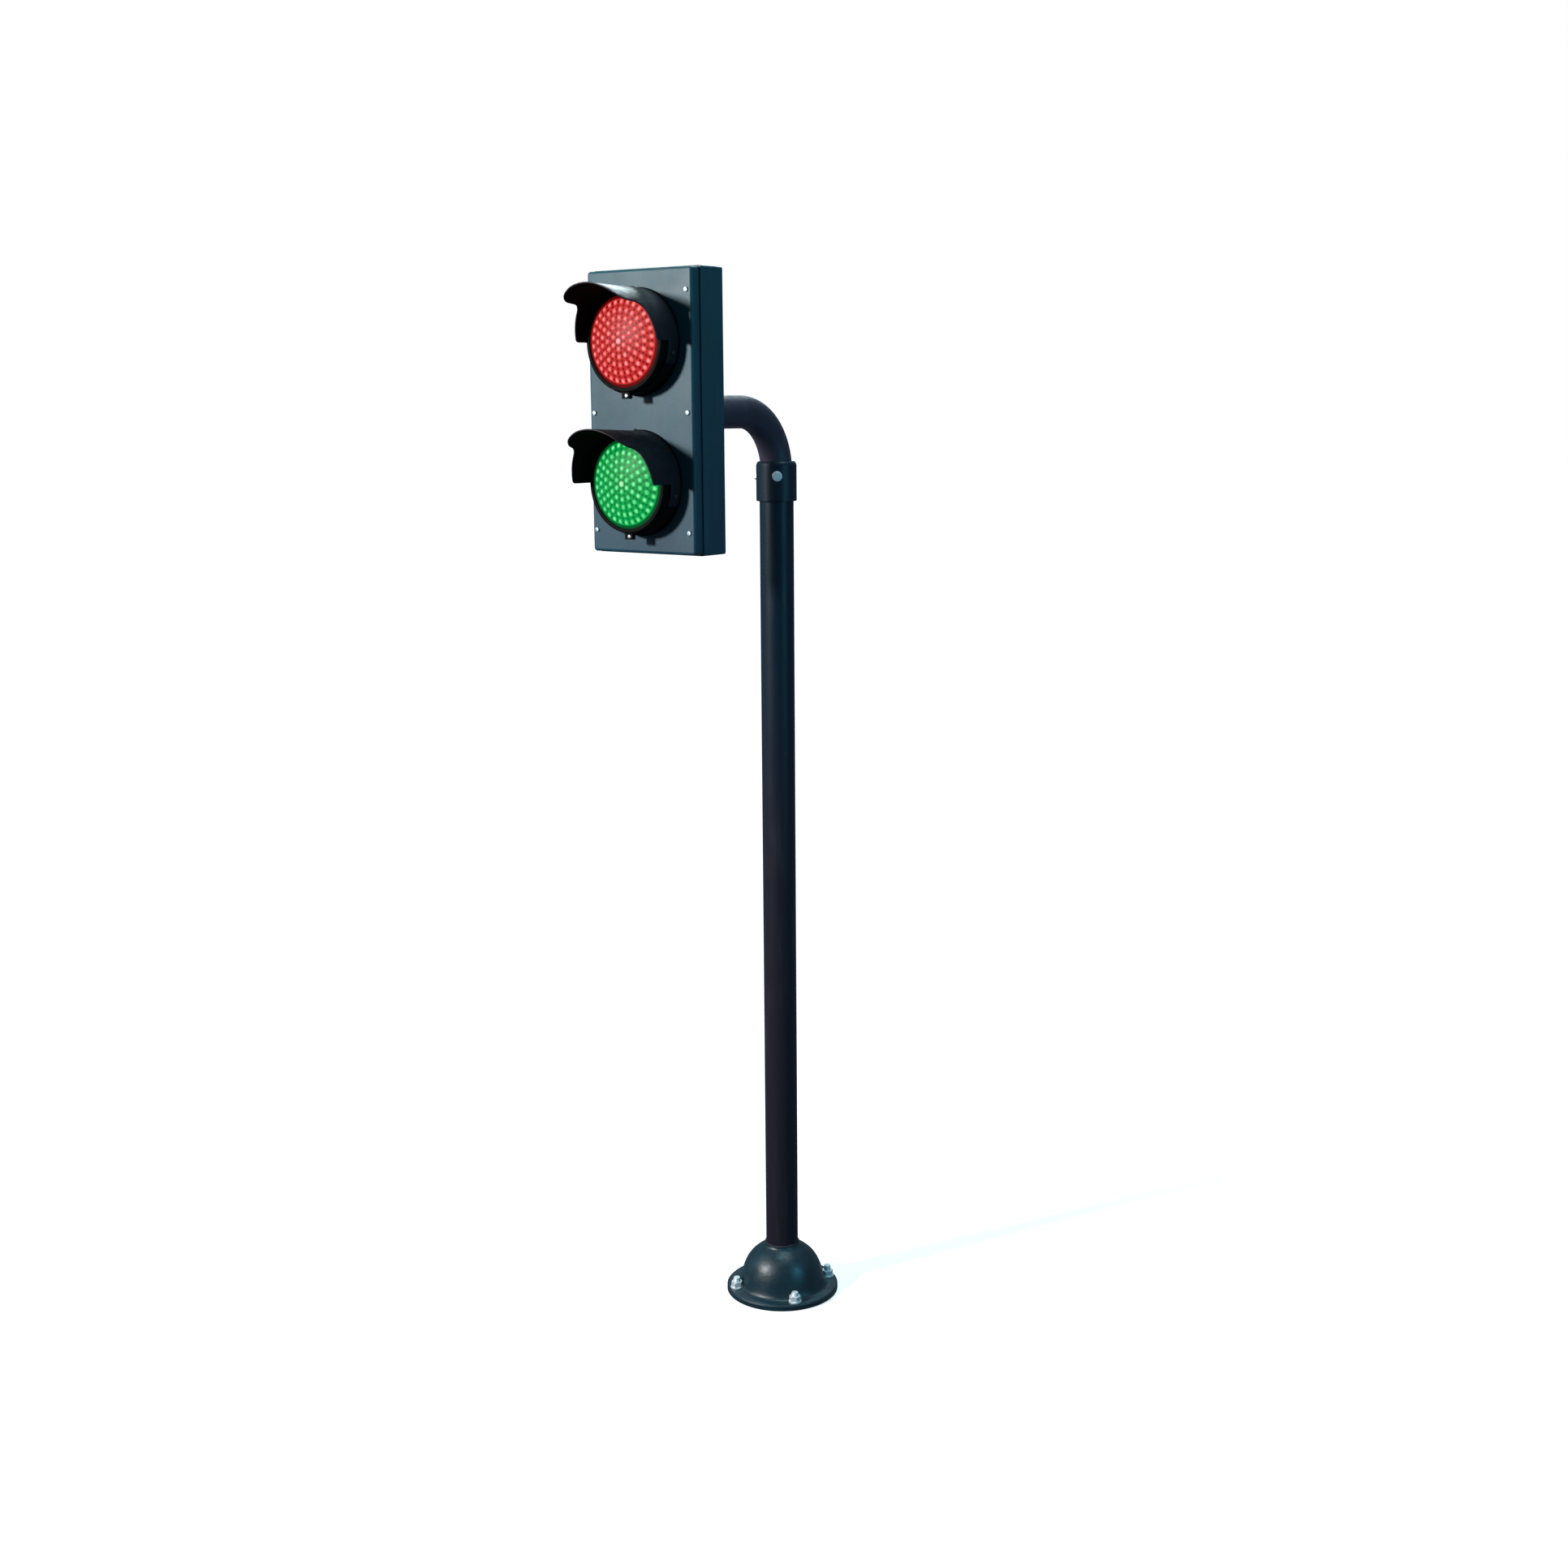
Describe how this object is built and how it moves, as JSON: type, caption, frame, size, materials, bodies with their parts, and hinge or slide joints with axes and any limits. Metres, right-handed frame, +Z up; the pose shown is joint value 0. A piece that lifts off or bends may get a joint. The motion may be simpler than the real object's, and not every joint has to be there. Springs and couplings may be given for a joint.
{
  "type": "pole-mounted traffic signal",
  "caption": "Round post on a domed bolt-down flange carries a swan-neck arm and a flat signal head with a red lamp over a green one, each under a hood.",
  "frame": {"origin": "centre of the base flange's underside, on the post's axis", "axes": "+Z up along the post; the head faces -Y; +X is the head's right as its lamps face the viewer"},
  "size_m": [0.28, 0.7445, 2.355],
  "materials": {
    "post_coat": "satin powder coat, dark navy",
    "head_coat": "satin powder coat, dark teal grey",
    "bright_zinc": "bright zinc plate",
    "plain_steel": "plain steel, dull",
    "bare_aluminium": "mill finish",
    "brass_fitting": "plain brass",
    "black_moulding": "fine moulded grain",
    "grey_moulding": "moulded",
    "black_screw": "black oxide",
    "black_rubber": "matte",
    "circuit_board": "solder mask",
    "red_lens_plastic": "tinted polycarbonate",
    "green_lens_plastic": "tinted polycarbonate",
    "red_emitter": "clear epoxy",
    "green_emitter": "clear epoxy"
  },
  "bodies": {
    "post": {"base_flange": "post_coat", "anchor_washers": "bright_zinc", "anchor_nuts": "bright_zinc", "post_tube": "post_coat", "collar": "post_coat", "collar_screws": "bright_zinc", "spigot_stop_ring": "plain_steel"},
    "arm": {"arm_tube": "post_coat", "spigot_bush": "black_moulding", "arm_flange": "plain_steel", "arm_grommet": "black_rubber"},
    "head": {"rear_housing": "head_coat", "front_cover": "head_coat", "cover_gasket": "black_rubber", "cover_screws": "bright_zinc", "cover_screw_sleeves": "bright_zinc", "cover_insert_nuts": "brass_fitting", "drain_plug": "black_moulding", "stiffener": "plain_steel", "levelling_bolts": "bright_zinc", "levelling_seals": "black_rubber", "levelling_washers": "bright_zinc", "levelling_nuts": "bright_zinc", "equipment_plate": "bare_aluminium", "power_supply": "bare_aluminium", "terminal_block": "grey_moulding", "earth_stud": "brass_fitting", "red_bezel": "black_moulding", "red_clip_screw": "bright_zinc", "red_bezel_gasket": "black_rubber", "red_clamp_ring": "black_moulding", "red_lens": "red_lens_plastic", "red_lens_gasket": "black_rubber", "red_lamp_can": "grey_moulding", "red_lamp_gland": "black_moulding", "red_led_board": "circuit_board", "red_driver_board": "circuit_board", "red_visor": "black_moulding", "red_leds": "red_emitter", "red_visor_screws": "black_screw", "green_bezel": "black_moulding", "green_clip_screw": "bright_zinc", "green_bezel_gasket": "black_rubber", "green_clamp_ring": "black_moulding", "green_lens": "green_lens_plastic", "green_lens_gasket": "black_rubber", "green_lamp_can": "grey_moulding", "green_lamp_gland": "black_moulding", "green_led_board": "circuit_board", "green_driver_board": "circuit_board", "green_visor": "black_moulding", "green_leds": "green_emitter", "green_visor_screws": "black_screw"}
  },
  "joints": [
    {"name": "arm_swivel", "type": "hinge", "parent": "post", "child": "arm", "pos_m": [0, 0, 1.93], "axis": [0, 0, 1], "range_deg": [-175, 175]},
    {"name": "head_level", "type": "hinge", "parent": "arm", "child": "head", "pos_m": [0, -0.36, 2.07], "axis": [0, 1, 0], "range_deg": [-12, 12]}
  ]
}
